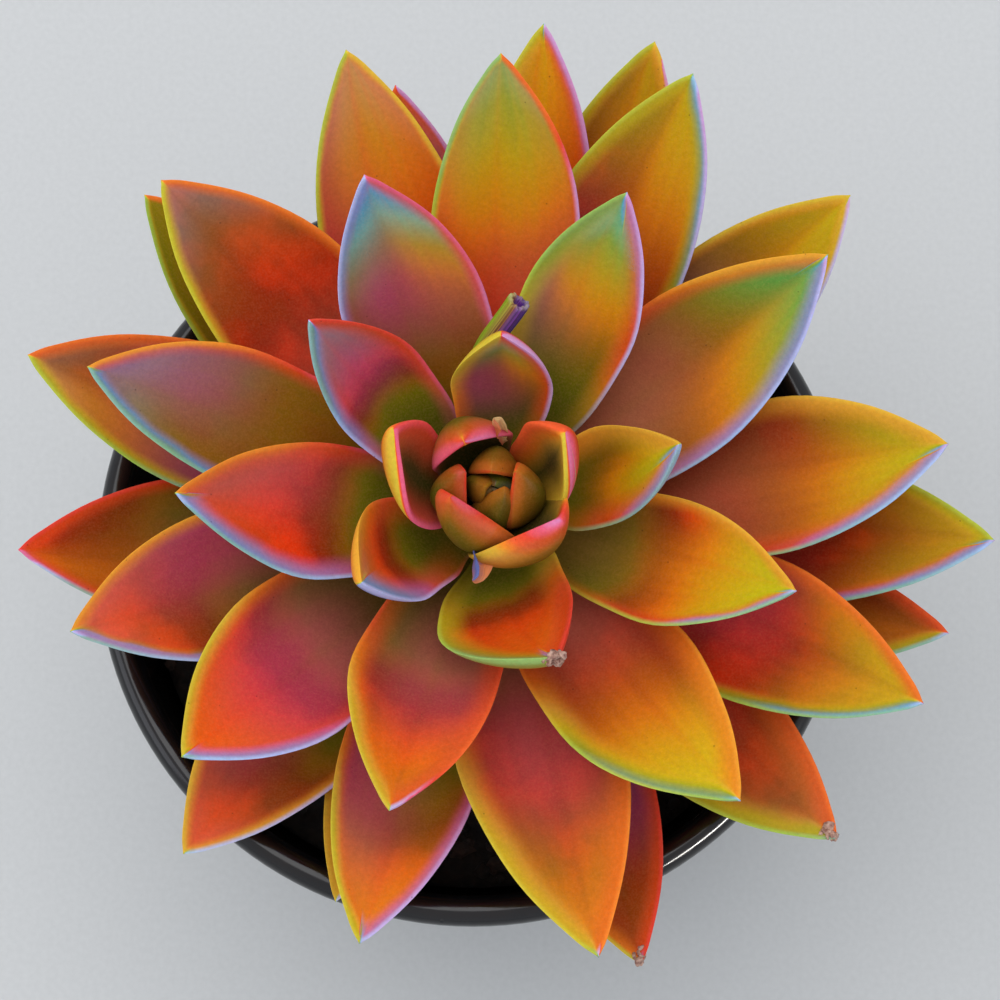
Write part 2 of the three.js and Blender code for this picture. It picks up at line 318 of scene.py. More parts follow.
# %% Read the blank as shares
def blank_shares(mesh):
    x, y, z = points_of(mesh).T
    y = (y - y.min()) / (y.max() - y.min())
    rings = np.unique(np.round(y, 4))
    half = np.array([np.abs(x[np.abs(y - r) < 2e-4]).max() for r in rings])
    deep = np.array([-z[np.abs(y - r) < 2e-4].min() for r in rings])
    half_here = np.maximum(np.interp(y, rings, half), 1e-4)
    deep_here = np.maximum(np.interp(y, rings, deep), 1e-4)
    # Across counts from the leaf's right to its left, seen from its base, so faces stay outwards
    across = np.clip(-x / half_here, -1, 1)
    return across, y, np.clip(-z / deep_here, -0.5, 1)


ACROSS, ALONG, DEEP = blank_shares(leaf_blank.data)
print("across", ACROSS.min(), ACROSS.max(), "deep", DEEP.min(), DEEP.max())

# %% [markdown]
# ## Bending a copy along its own leaf
# A leaf's middle line is a curve with one bend: it leaves the stem, sags, and rises to its tip.
# Each copy of the blank is laid across that curve. Real leaves are never quite even, so the margin
# wavers by a fraction of a millimetre and the faces swell and dip a little.

# %% Lay out a leaf
def lerp(a, b, t):
    return a + (b - a) * t


def step(low, high, value):
    t = np.clip((value - low) / (high - low), 0, 1)
    return t * t * (3 - 2 * t)


def along_axis(angle, radius, height):
    return np.array([radius * math.cos(angle), radius * math.sin(angle), height])


def unit(rows):
    rows = np.asarray(rows, float)
    return rows / np.maximum(np.linalg.norm(rows, axis=-1, keepdims=True), 1e-9)


def to_pot(points):
    """Plant millimetres to metres in the pot's frame."""
    turn = np.array(PLANT.to_3x3())
    return (points @ turn.T + np.array(STEM_FOOT)) * MM


def leaf_plan(order):
    azimuth, reach, rise, width, sway, widest, sag = LEAVES[order]
    age = order / (len(LEAVES) - 1)
    foot = math.radians(FIRST_TURN + TURN * order)
    foot_radius = lerp(STEM_TIP_RADIUS, STEM_RADIUS, min(1, 2 * age)) + LEAF_SEAT
    base = along_axis(foot, foot_radius, lerp(YOUNGEST_BASE, OLDEST_BASE, age))
    tip = along_axis(math.radians(azimuth), reach, rise)
    plan = unit([tip[0] - base[0], tip[1] - base[1], 0])
    side = np.array([-plan[1], plan[0], 0])
    down = np.cross(side, unit(tip - base))
    down = -down if down[2] > 0 else down
    return {
        "base": base, "bend": (base + tip) / 2 + down * sag + side * sway, "tip": tip,
        "side": side, "width": width, "widest": widest, "cup": LEAF_CUP, "flat_base": True,
        "thickness": lerp(YOUNG_THICKNESS, LEAF_THICKNESS, min(1, 3 * age)),
    }


WAVER = 0.018
SWELL = 0.35
KEEL_FOLD = 0.12


def lay_leaf(plan, seed):
    """The blank's points laid along one leaf, with what its finish needs at each point."""
    rng = np.random.default_rng(seed)
    warp = math.log(plan["widest"]) / math.log(OUTLINE_WIDEST)
    s = ALONG**warp
    base, bend, tip, side = plan["base"], plan["bend"], plan["tip"], plan["side"]
    middle = (np.outer((1 - s) ** 2, base) + np.outer(2 * s * (1 - s), bend) + np.outer(s * s, tip))
    run = unit(np.outer(1 - s, bend - base) + np.outer(s, tip - bend))
    out = unit(np.cross(run, side))
    if plan["flat_base"]:
        stand = np.clip(1 - s / 0.2, 0, 1)[:, None]
        out = unit(out * (1 - stand) + np.array([0, 0, 1]) * stand)
    half = smooth_curve(1, ALONG)
    thick = smooth_curve(2, ALONG)
    phase = rng.uniform(0, 6.28, 4)
    waver = 1 + WAVER * np.sin(11 * s + phase[0] + 1.5 * np.sign(ACROSS)) * np.sin(np.pi * s)
    reach = half * plan["width"] / 2 * waver
    length = np.linalg.norm(bend - base) + np.linalg.norm(tip - bend)
    twist = math.radians(rng.uniform(-4, 4)) * s * ACROSS * reach
    swell = SWELL * np.sin(5 * s + phase[1]) * np.cos(2.2 * ACROSS + phase[2]) * (1 - ACROSS**2)
    fold = KEEL_FOLD * reach * np.abs(ACROSS) * np.clip((s - 0.55) / 0.45, 0, 1)
    lift = plan["cup"] * reach * ACROSS**2 + twist + swell * np.sin(np.pi * s) + fold
    # A young leaf's margin is a round lip: its top face falls off over the last stretch
    lip = plan.get("lip", 0)
    fall = np.clip(1 - (1 - np.abs(ACROSS)) * reach / (2 * lip), 0, 1) if lip else 1
    lift += lip * np.sqrt(1 - fall**2) * (DEEP < 0.001) * step(0, 0.3, ALONG)
    depth = DEEP * thick * plan["thickness"]
    points = middle + side * (ACROSS * reach)[:, None] + out * (lift - depth)[:, None]
    # The way the nearest margin faces in plan, and how far off it is in millimetres
    shares = np.linspace(0.001, 0.999, 200)
    table = np.gradient(smooth_curve(1, shares) * plan["width"] / 2, shares**warp * length)
    slope = np.interp(ALONG, shares, -table)
    angle = np.arctan(np.clip(slope, -3, 3))
    level = out * (plan["cup"] * np.abs(ACROSS))[:, None] + side * ACROSS[:, None]
    faces = level * np.cos(angle)[:, None] + run * np.sin(angle)[:, None]
    edge = (1 - np.abs(ACROSS)) * reach * np.cos(angle)
    return to_pot(points), unit(faces[:, :2]), edge


# %% [markdown]
# ## Where the colours settle
# This echeveria is called chameleon for its dyed, many-coloured leaves. A leaf's base stays olive
# green, its blade ripens to orange-red with patches of violet or gold, its tip may be tinted, and
# its margins run through the colours of a ring. Each leaf carries those as numbers at its points,
# and the shader turns them into colour. A row below says, for one leaf:
# - how far its green reaches, and how bright its blade ripens
# - how much violet it has, its hue from 0, ochre, over rose to 1, violet, how far out it lies, and
#   on which flank, from -1, the leaf's right, to 1, its left
# - how much gold it has, and on which flank
# - how strong its tip's tint is, and the tint from 0, yellow, to 1, blue
# - where on the colour ring, in turns, its left margin, its right margin and their base are
# - how broad the soft band inside its margin is.
#
# These numbers weren't chosen by hand. Another program solved them, by a least-squares fit of this
# colouring to the photo's colours at each leaf's points, and eleven rows were changed by hand
# afterwards. The fits also gave 42 of the 45 colours in the seven ramps of the leaves.

# %% Dress of each leaf
DRESS = [
    (0.8, 0.7, 0.8, 0.6, 0.6, 0.6, 0.6, -0.9, 0.8, 0.84, 0.5, 0.02, 0.3, 1.1),
    (0.52, 1.08, 0, 0.5, 0.47, -0.86, 0, 0.33, 0.61, 0.86, 0.8, 0.41, 0.11, 1.8),
    (0.14, 0.25, 0, 0.46, 0.39, 0.98, 0.93, -0.67, 1, 0, 0.43, 0.87, 0.37, 1.53),
    (0.5, 1.08, 0.9, 0.83, 0.85, -0.04, 0, 0.18, 0.39, 0.84, 0.72, 0.13, -0.02, 0.93),
    (0.43, 1, 0, 0.5, 0.5, 0, 0.3, 0.2, 0, 0.3, 0.12, 0.65, 0.5, 1.7),
    (0.3, 0.41, 0.59, 1, 0.7, 1, 0.8, -0.27, 0.99, 0.84, 0.64, 0.93, 0.43, 1.25),
    (0.44, 0.97, 0.75, 0.41, 0.76, -1, 0, 0, 0.13, 0.79, 0.8, 0.35, -0.03, 1.19),
    (0.46, 0.99, 0.37, 0, 0.21, 0.35, 0.61, -0.32, 1, 0.1, 0.42, 0.88, 0.38, 0.72),
    (0.14, 0.55, 0.98, 0.61, 0.7, -0.1, 0.64, -1, 1, 1, 0.82, 1, -0.03, 0.69),
    (0.5, 0.97, 0.6, 0.45, 0.48, 0.4, 0.01, 0.09, 0.32, 0, 0.26, 0.49, 0.16, 1.39),
    (0.14, 0.55, 0.73, 0.28, 0.35, 0.44, 0.8, -1, 0.95, 0.64, 0.4, 0.84, -0.09, 1.08),
    (0.18, 0.56, 0.79, 0.82, 0.85, -0.74, 0.08, 0.46, 0.25, 0.96, 0.71, 0.37, -0.03, 0.8),
    (0.2, 0.86, 0.85, 0.28, 0.2, 0.45, 0.56, -0.28, 0.88, 0, 0.38, 0.69, 0.3, 1.53),
    (0.23, 1.03, 0.54, 0.28, 0.43, -0.67, 0.86, 0.05, 0.46, 0.72, 0.65, 0.28, 0.26, 0.4),
    (0.5, 1.07, 0.7, 0.5, 0.54, 0.2, 0, -0.19, 0.16, 0, -0.16, 0.5, 0.21, 1.06),
    (0.18, 0.77, 0.43, 0.22, 0.34, -0.51, 0.54, -0.58, 0.83, 0.16, 0.44, 0.86, 0.36, 1.28),
    (0.1, 0.89, 0.6, 0.28, 0.23, -0.06, 0, -0.08, 0.31, 0.84, 0.54, 0.31, 0.37, 0.63),
    (0.36, 0.89, 0.7, 0.4, 0.45, 0.3, 0, 0, 0.37, 0, 0.32, 0.51, 0.3, 1.66),
    (0.26, 0.86, 0.25, 0.6, 0.43, 1, 0.55, -0.72, 0.53, 0.2, 0.57, 0.74, 0.49, 0.98),
    (0.59, 1, 1, 0.5, 0.6, -1, 0, 0.03, 0.17, 0.8, 0.86, 0.39, 0.39, 0.78),
    (0.26, 0.89, 0.6, 0.62, 0.35, 0.81, 0.02, 0.1, 0.72, 0, 0.3, 0.74, 0.3, 0.86),
    (0.1, 1.04, 0.69, 0.5, 0.62, 0.96, 0.48, -0.08, 0.22, 0.85, 0.58, 0.46, 0.34, 0.47),
    (0.62, 1.07, 0.9, 0.5, 0.59, -0.98, 0, 0, 0.37, 0, -0.09, 0.52, 0.05, 0.9),
    (0.67, 1, 0.58, 0.74, 0.39, 0.14, 0.58, -0.65, 0.64, 0.14, 0.48, 0.5, 0.32, 0.64),
    (0.08, 0.89, 1, 1, 0.48, 0.09, 0.41, 1, 0.22, 0.75, 0.58, 0.29, 0.41, 0.74),
    (0.3, 0.86, 0.74, 0.29, 0.33, 0.24, 0, 0.1, 0.27, 0.69, 0.28, 0.57, 0.32, 1.67),
    (0.38, 1.08, 0, 0.5, 0.5, 0.6, 0.49, 0.19, 0.34, 0.15, 0.55, -0.08, 0.34, 0.88),
    (0.61, 1, 1, 0.53, 0.54, -0.99, 0.01, -0.01, 0.17, 0.74, 0.46, 0.45, 0.3, 0.72),
    (0.15, 0.84, 0.4, 0.61, 0.29, -0.36, 0.02, 0.21, 0.56, 0, 0.58, 0.83, 0.33, 0.96),
    (0.43, 0.4, 0.34, 0.39, 0.34, 0.31, 0.22, -0.04, 0.32, 0.32, 0.62, 0.3, 0.33, 0.42),
    (0.19, 0.81, 1, 0.91, 0.43, 0.54, 0.02, -0.29, 0.05, 0.1, 0.12, 0.37, 0.34, 1.04),
    (0.09, 0.83, 0.02, 0.48, 0.41, 0.6, 0.54, -0.51, 0.36, 0.33, 0.57, 0.45, 0.34, 0.77),
    (0.71, 1.04, 0.64, 0.42, 0.39, 0.47, 0.33, 0.79, 0, 0.89, -0.02, 0.12, 0.33, 0.79),
    (0.21, 0.7, 0.25, 0.5, 0.37, 0.45, 0.31, -0.56, 0.01, 0.83, 0.24, 0.61, 0.33, 0.91),
    (0.11, 1, 0.66, 1, 0.67, -0.46, 0.21, 0.58, 0.21, 0.21, 0.28, -0.08, 0.33, 0.41),
    (0.27, 1, 0.16, 0.5, 0.47, -0.6, 0, -0.05, 0.97, 0, 0.47, 0.46, 0.33, 1.77),
]
# The ways a leaf's right and left margins face when they get a painted pale reflection, as of a
# bright window
REFLECTION_WAYS = unit(np.array([[0.5, -0.87], [0.2, -0.98]]))
# A right margin's painted reflection is a twelfth of the ring cooler than the way it faces
TWELFTH = math.radians(30)
COOLER = np.array([
    (math.cos(TWELFTH), -math.sin(TWELFTH)), (math.sin(TWELFTH), math.cos(TWELFTH)),
])
HALO_WIDTH = 3.2
# Shares of a leaf's length over which its margin's dye sets in, and over which the colours of its
# two margins part
DYE_SPAN, TURN_SPAN = (0.1, 0.5), (0.25, 0.75)


def turns_across(right, middle, left):
    """Colour-ring turns from a leaf's right margin to its left, the short way round the ring."""
    shift = (left - right + 0.5) % 1 - 0.5
    if middle is None:
        return right + shift * step(-0.3, 0.3, ACROSS)
    return np.interp(ACROSS, (-1, 0, 1), (right, middle, left))


def on_flank(side):
    """One on a flank of the leaf, from -1 at its right to 1 at its left, fading to the other."""
    return step(0, 0.8, 1 - np.abs(ACROSS - side) / 1.6)


def put(mesh, name, columns):
    layer = mesh.attributes.new(name, "FLOAT_VECTOR", "POINT")
    layer.data.foreach_set("vector", np.column_stack(columns).astype(float).ravel())


def dress_leaf(mesh, row, faces, edge, plan):
    """Keeps on the mesh where green, violet, gold, tip tint, margin colours and painted shade
    settle.
    """
    green, peak, violet, violet_hue, violet_at, violet_side, gold, gold_side = row[:8]
    tip, tint, left_turn, right_turn, base_turn, halo = row[8:]
    even = np.ones(len(ALONG))
    under = step(0.08, 0.3, DEEP)
    green = lerp(green, plan.get("back_green", green), under)
    ripen_at = ALONG + plan.get("edge_ripe", 0.1) * ACROSS**2
    ripe = peak * step(green * 0.45, green * 1.55, ripen_at)
    rise_in = step(violet_at - 0.4, violet_at - 0.04, ALONG)
    fade_out = 1 - step(violet_at + 0.04, violet_at + 0.4, ALONG)
    settle_violet = violet * rise_in * fade_out * on_flank(violet_side)
    settle_gold = gold * step(0.25, 0.85, ALONG) * on_flank(gold_side)
    put(mesh, "blade_tones", (ripe, settle_violet, settle_gold))
    # The tip's tint runs from yellow over green to blue on the way out
    outwards = ALONG + 0.1 * (np.abs(ACROSS) - 0.5)
    settle_tip = tip * step(0.58, 0.95, outwards)
    settle_tint = tint * (0.4 + 0.6 * step(0.55, 1.0, outwards))
    put(mesh, "tip_tones", (settle_tip, settle_tint, under))
    # Near its base every leaf's margin has one colour, and the two margins part on the way out
    turns = plan.get("turns", (right_turn, None, left_turn))
    turn = lerp(turns_across(*turns), turns_across(*plan.get("rim_turns", turns)), under)
    parted = step(*plan.get("turn_span", TURN_SPAN), ALONG)
    turn = base_turn + ((turn - base_turn + 0.5) % 1 - 0.5) * parted
    # Margins that face down or right in plan get a painted reflection, pale blue to pink; the
    # others match their halo
    reflection_right = step(0.1, 0.45, faces @ REFLECTION_WAYS[0])
    reflection_left = step(0.6, 0.9, faces @ REFLECTION_WAYS[1])
    pale = plan.get("pale", 1) * np.where(ACROSS > 0, reflection_left, reflection_right)[:, None]
    reflection_way = np.where(ACROSS[:, None] > 0, faces, faces @ COOLER)
    ring_way = np.column_stack((np.cos(2 * math.pi * turn), np.sin(2 * math.pi * turn)))
    rim_way = unit(lerp(ring_way, reflection_way, pale))
    put(mesh, "margin_ways", (*rim_way.T, edge * plan.get("edge_scale", 1)))
    # The dyed margin starts some way out from the leaf's base
    start = plan.get("dye", 1) * step(*plan.get("dye_span", DYE_SPAN), ALONG)
    put(mesh, "margin_band", (HALO_WIDTH * halo * even, start, base_turn * even))
    # Painted shade: the top faces of young leaves are darkened, fading out towards the tip
    shade = plan.get("shade", 0) * (1 - under) * (1 - step(0.6, 1, ALONG))
    put(mesh, "halo_tones", (turn, shade, violet_hue * even))
    map_uv(mesh)


def map_uv(mesh):
    u, v = (ACROSS + 1) / 2, ALONG
    layer = mesh.uv_layers.new(name="UVMap")
    corners = np.zeros(len(mesh.loops), int)
    mesh.loops.foreach_get("vertex_index", corners)
    layer.data.foreach_set("uv", np.column_stack((u[corners], v[corners])).ravel())


# %% [markdown]
# ## The leaf's skin
# The real skin is a waxy cuticle with a fine bloom over coloured flesh. Light goes a little way
# in, so the shader has some subsurface scattering, and the bloom makes it satin: roughness about
# 0.45 and the usual IOR of plant wax, 1.45. The blade's colours are ramps read by the numbers on
# the mesh, roughened by noise so that no edge between two colours is even. Streaks run along the
# leaf, as its fibres do, about a millimetre apart. The grain of the bloom is about 0.3 mm, which is
# as fine as shows here.

# %% Leaf material
def ring_ramp(tree, where, stops):
    """A ramp round the ring: the first colour comes again at the end."""
    return add_node(tree, "ValToRGB", {0: where}, stops=stops + [(1.0, stops[0][1])])


BLADE_STOPS = [
    (0.0, "#4c4c08"), (0.2, "#5a5a0a"), (0.4, "#6e660a"), (0.55, "#8a5a0a"), (0.7, "#86380a"),
    (0.85, "#a02a0a"), (1.0, "#ee380a"),
]
GOLD_STOPS = [
    (0.0, "#8a2c06"), (0.35, "#de7c06"), (0.7, "#c09c06"), (1.0, "#568c10"),
]
TIP_STOPS = [
    (0.0, "#d3c014"), (0.3, "#76a80e"), (0.6, "#2ca24c"), (0.8, "#44b6a6"), (1.0, "#3688c8"),
]
ROSE_STOPS = [
    (0.0, "#b97f3f"), (0.5, "#b83a5c"), (1.0, "#984e90"),
]
HALO_STOPS = [
    (0.0, "#de4c42"), (0.12, "#d84414"), (0.25, "#e25426"), (0.36, "#ea7618"), (0.46, "#e4a834"),
    (0.54, "#cab218"), (0.63, "#92a226"), (0.7, "#709a70"), (0.76, "#529acc"), (0.86, "#9684bc"),
    (0.94, "#ce6090"),
]
# The crest's colours are the halo's drawn lighter: partly the margin's dye, partly a painted
# highlight
RIM_STOPS = [
    (0.0, "#ec6488"), (0.12, "#ee4436"), (0.25, "#f66430"), (0.36, "#f8962c"), (0.46, "#e6bc3c"),
    (0.54, "#d0ca3a"), (0.63, "#a2c852"), (0.7, "#84bca0"), (0.76, "#a8c9ee"), (0.86, "#c6bef0"),
    (0.94, "#dc9ad0"),
]
UNDER_STOPS = [
    (0.0, "#4c4c0a"), (0.35, "#7c5c10"), (0.7, "#a85b2a"), (1.0, "#ba664a"),
]
BLOOM_GRAIN, MOTTLE_SIZE, CLOUD_SIZE = 0.3, 0.7, 9
FIBRE_STREAKS = 6
SPECK_SPACING = 3.2 * MM


def mix_colour(tree, share, a, b):
    return add_node(
        tree, "Mix", {0: share, 6: a, 7: b}, data_type="RGBA", clamp_factor=True
    ).outputs[2]


def maths(tree, operation, *values):
    return add_node(tree, "Math", dict(enumerate(values)), operation=operation).outputs[0]


def multiply(tree, a, b):
    return maths(tree, "MULTIPLY", a, b)


def read_points(tree, name):
    """Three numbers kept on the mesh, as the outputs of one node."""
    stored = add_node(tree, "Attribute", attribute_name=name)
    return add_node(tree, "SeparateXYZ", {0: (stored, "Vector")})


def make_leaf_skin():
    material, tree = new_material("waxy_echeveria_cuticle")
    blade = read_points(tree, "blade_tones")
    tips = read_points(tree, "tip_tones")
    ways = read_points(tree, "margin_ways")
    band = read_points(tree, "margin_band")
    halo_tones = read_points(tree, "halo_tones")
    place_here = object_place(tree)
    uv = add_node(tree, "UVMap", uv_map="UVMap")
    # Soft clouds about a centimetre wide, and streaks that follow the fibres
    clouds = blotches(tree, place_here, CLOUD_SIZE, 3.0)
    fibre_space = add_node(tree, "Mapping", {0: uv, 3: (FIBRE_STREAKS, 2.2, 1)})
    fibre_turn = add_node(tree, "VectorMath", {0: fibre_space, 1: place_here}, operation="ADD")
    streaks = add_node(tree, "TexNoise", {"Vector": fibre_turn, "Scale": 1.0, "Detail": 1.5})
    unevenness = maths(tree, "MULTIPLY_ADD", streaks, 0.5, clouds)
    rough_edge = remap(tree, unevenness, (0.5, 1.0), (-0.08, 0.08))
    # Olive base to orange-red blade
    ripeness = maths(tree, "ADD", (blade, 0), rough_edge)
    colour = add_node(tree, "ValToRGB", {0: ripeness}, stops=BLADE_STOPS).outputs[0]
    # Violet, then gold, laid over it in patches
    patch = remap(tree, streaks, (0.3, 0.7), (0.74, 1.04))
    rose = add_node(tree, "ValToRGB", {0: (halo_tones, 2)}, stops=ROSE_STOPS)
    colour = mix_colour(tree, multiply(tree, (blade, 1), patch), colour, rose.outputs[0])
    gold_here = multiply(tree, (blade, 2), patch)
    gold = add_node(tree, "ValToRGB", {0: gold_here}, stops=GOLD_STOPS)
    gold_share = remap(tree, gold_here, (0.02, 0.45), (0.0, 0.92))
    colour = mix_colour(tree, gold_share, colour, gold.outputs[0])
    tint = add_node(tree, "ValToRGB", {0: (tips, 1)}, stops=TIP_STOPS)
    colour = mix_colour(tree, multiply(tree, (tips, 0), patch), colour, tint.outputs[0])
    # Inside the heart the blades stand in the dark: painted shade takes them towards deep olive
    colour = mix_colour(tree, (halo_tones, 1), colour, linear("#262c06"))
    # The keeled underside is paler and duller
    back = add_node(tree, "ValToRGB", {0: ripeness}, stops=UNDER_STOPS)
    colour = mix_colour(tree, (tips, 2), colour, back.outputs[0])
    # The thin crest of the margin, partly its own dye and partly a painted highlight drawn lighter
    # than the halo: its place on the colour ring is kept as a direction
    turn = maths(tree, "DIVIDE", maths(tree, "ARCTAN2", (ways, 1), (ways, 0)), 2 * math.pi)
    rim = ring_ramp(tree, maths(tree, "WRAP", turn, 1.0, 0.0), RIM_STOPS)
    off_edge = maths(tree, "ADD", (ways, 2), multiply(tree, rough_edge, 4.0))
    halo_share = remap(tree, off_edge, (0.2, (band, 0)), (0.9, 0.0), "SMOOTHSTEP")
    # From the blade to the edge, the soft band runs round the ring up to the margin's own turn
    shift = maths(tree, "SUBTRACT", (halo_tones, 0), (band, 2))
    shift = maths(tree, "WRAP", shift, 0.5, -0.5)
    nearness = remap(tree, halo_share, (0.0, 0.9), (0.4, 1.05))
    halo_at = maths(tree, "MULTIPLY_ADD", shift, nearness, (band, 2))
    halo = ring_ramp(tree, maths(tree, "WRAP", halo_at, 1.0, 0.0), HALO_STOPS)
    rim_strength = remap(tree, (band, 1), (0.0, 1.0), (0.1, 1.0))
    rim_share = remap(tree, (ways, 2), (0.1, 0.9), (0.85, 0.0), "SMOOTHSTEP")
    colour = mix_colour(tree, multiply(tree, halo_share, (band, 1)), colour, halo.outputs[0])
    colour = mix_colour(tree, multiply(tree, rim_share, rim_strength), colour, rim.outputs[0])
    # Bloom grain, a fine mottle and a few dark specks
    grain = blotches(tree, place_here, BLOOM_GRAIN, 2.0)
    grain_share = remap(tree, grain, (0.4, 0.7), (0.0, 0.07))
    colour = mix_colour(tree, grain_share, colour, linear("#e09a6a"))
    mottle = blotches(tree, place_here, MOTTLE_SIZE, 4.0, 0.7)
    value = remap(tree, mottle, (0.3, 0.7), (0.91, 1.09))
    colour = add_node(tree, "HueSaturation", {"Value": value, "Color": colour}).outputs[0]
    cells = add_node(
        tree, "TexVoronoi", {"Vector": place_here, "Scale": 1 / SPECK_SPACING, "Randomness": 1.0}
    )
    specks = remap(tree, cells, (0.02, 0.055), (0.5, 0.0))
    colour = mix_colour(tree, specks, colour, linear("#3a2014"))
    height = maths(tree, "MULTIPLY_ADD", grain, 0.4, clouds)
    bump = add_node(tree, "Bump", {"Strength": 0.35, "Distance": 0.25 * MM, "Height": height})
    gloss = remap(tree, grain, (0.3, 0.7), (0.4, 0.54))
    return give_surface(material, {
        "Base Color": colour, "Roughness": gloss, "IOR": 1.45, "Normal": bump,
        "Subsurface Weight": 0.12, "Subsurface Radius": (1.0, 0.4, 0.2),
        "Subsurface Scale": 1.5 * MM, "Specular IOR Level": 0.06,
    })


leaf_skin = make_leaf_skin()

# %% [markdown]
# ## Thirty-six leaves
# Every leaf is its own mesh, copied from the blank, laid out on its own curve and dressed with its
# own row. Each stands for its own solid.

# %% Make the leaves
def make_leaf(name, plan, row, seed, *nodes):
    mesh = leaf_blank.data.copy()
    points, faces, edge = lay_leaf(plan, seed)
    set_points(mesh, points)
    dress_leaf(mesh, row, plan.get("faces", faces), edge, plan)
    return place(new_piece(name, mesh), name, leaf_skin, "leaf", *nodes)


for order, row in enumerate(DRESS):
    node = f"leaf_{order + 1:02d}"
    make_leaf(f"{node}_blade", leaf_plan(order), row, 100 + order, node)
print("leaf blades:", len(DRESS))

# %% [markdown]
# ## The heart
# Young leaves stand up round the growing tip and arch in over it, so some show their backs from
# above. They are the same leaf, shorter and more cupped, each with its own arch: a row says where
# the leaf stands, its belly's distance from the axis, where its tip leans, the tip's distance and
# height, its width, how strong its margin is dyed, and where on the colour ring its base and its
# margin are, from the right over the tip to the left. Two outer ones have a crest of another
# colour, given last. The margins of young leaves are round lips.

# %% Young leaves of the heart
HEART_BASE, HEART_STEP, HEART_BASE_RADIUS = 41, 0.35, 1.6
HEART_THICKNESS, HEART_CUP = 2.4, 0.45
HEART = [
    (303, 8.8, 337, 10.5, 58.5, 15, 0.85, 0.46, (-0.04, 0.02, 0.1)),
    (167, 12.3, 148, 16.4, 59.5, 13.5, 1, 0.1, (0.1, 0.02, 0), (0.24, 0.4, 0.5)),
    (28, 10.1, 39, 13, 59.5, 12.5, 1, 0.5, (0.5, 0.42, 0.22), (-0.04, 0.14, 0.24)),
    (236, 6.5, 188, 6, 58.5, 12.8, 0.55, 0.3, (0.12, 0.26, 0)),
    (116, 9.2, 121, 7.8, 59, 12.4, 0.7, 0, (-0.04, 0.4, 0.02)),
    (352, 5, 40, 4.2, 57.5, 9, 0.25, 0.3, (0.24, 0.3, 0.3)),
    (186, 6.4, 146, 4.8, 57.5, 8.5, 0.4, 0.3, (0.1, 0.06, 0.12)),
    (86, 4.6, 95, 2.9, 56.5, 7.5, 0.25, 0.3, (0.3, 0.3, 0.26)),
    (275, 3, 20, 1.8, 56, 6.5, 0.12, 0.3, (0.3, 0.3, 0.3)),
    (150, 2.2, 150, 1.4, 55.5, 5, 0.1, 0.3, (0.3, 0.3, 0.3)),
]
YOUNG_GREEN = (1.0, 0.95, 0.95, 1.0, 1.0, 1.0, 1.0, 1.2, 1.4, 1.6)
YOUNG_BACK_GREEN = (0.84, 0.89, 0.94, 0.99, 1.04, 1.49, 1.54, 1.59, 1.64, 1.69)
YOUNG_PEAK, YOUNG_HALO = 0.95, 1.15
# The rest of a dress row: a little violet, and no gold or tip tint
YOUNG_PATCHES = (0.2, 0.5, 0.6, 0, 0, 0, 0, 0, 0, 0)
LIP = 0.8


def young_leaf(row, order):
    """The plan and the dress of one young leaf."""
    stand, belly, lean_to, reach, rise, width, dye, base_turn, turns, *crest = row
    base = along_axis(math.radians(stand), HEART_BASE_RADIUS, HEART_BASE + order * HEART_STEP)
    tip = along_axis(math.radians(lean_to), reach, rise)
    outward = along_axis(math.radians(stand), 1, 0)
    middle = (base + tip) / 2
    side = np.cross([0, 0, 1], outward)
    arch = 1 if reach * math.cos(math.radians(lean_to - stand)) > belly else -1
    plan = {
        "base": base, "bend": 2 * (outward * belly + [0, 0, middle[2]]) - middle, "tip": tip,
        "side": side, "width": width, "widest": OUTLINE_WIDEST, "cup": HEART_CUP,
        # Painted shade darkens their top faces, and their margins get no painted reflection
        "flat_base": False, "thickness": HEART_THICKNESS, "lip": LIP, "shade": 0.7, "pale": 0,
        # The margins of a leaf that arches in over the heart face the heart
        "faces": unit((outward * arch + np.outer(ACROSS, side) * 0.5)[:, :2]),
        "dye": dye, "turns": turns, "rim_turns": crest[0] if crest else turns,
        "dye_span": (0.05, 0.35) if crest else (0.35, 0.85),
        "turn_span": (-1, 0) if crest else (0.7, 1), "edge_scale": 0.6 if crest else 0.9,
        "edge_ripe": 0.6, "back_green": YOUNG_BACK_GREEN[order],
    }
    return plan, (YOUNG_GREEN[order], YOUNG_PEAK, *YOUNG_PATCHES, base_turn, YOUNG_HALO)


for order, row in enumerate(HEART):
    make_leaf(f"heart_leaf_{order + 1:02d}", *young_leaf(row, order), 300 + order, "heart")
print("young leaves:", len(HEART))

# %% [markdown]
# Between the youngest leaves the growing tip itself shows, a bud of leaves too small to tell apart.

# %% Growing tip
BUD_AXIS, BUD_FOOT, BUD_TOP, BUD_RADIUS = (0.2, 0.6), 47, 54.2, 3.4
BUD_LEAVES = 3
BUD_WIDTH, BUD_THICKNESS = 6, 1.2
BUD_DRESS = (1.6, YOUNG_PEAK, *YOUNG_PATCHES, 0.3, YOUNG_HALO)

for order in range(BUD_LEAVES):
    lean = math.radians(70 + 120 * order)
    root, top = (np.array([*BUD_AXIS, z]) for z in (BUD_FOOT, BUD_TOP - 0.5 * order))
    plan = {
        "base": root + along_axis(lean, 0.6, 0), "bend": root + along_axis(lean, BUD_RADIUS, 4),
        "tip": top + along_axis(lean, 0.3, 0), "side": np.cross([0, 0, 1], along_axis(lean, 1, 0)),
        "width": BUD_WIDTH, "widest": OUTLINE_WIDEST, "cup": HEART_CUP, "flat_base": False,
        # Painted shade darkens the bud's leaves
        "thickness": BUD_THICKNESS, "shade": 0.5, "dye": 0, "back_green": 1.5,
    }
    make_leaf(f"growing_tip_{order + 1}", plan, BUD_DRESS, 340 + order, "heart")
print("bud leaves:", BUD_LEAVES)

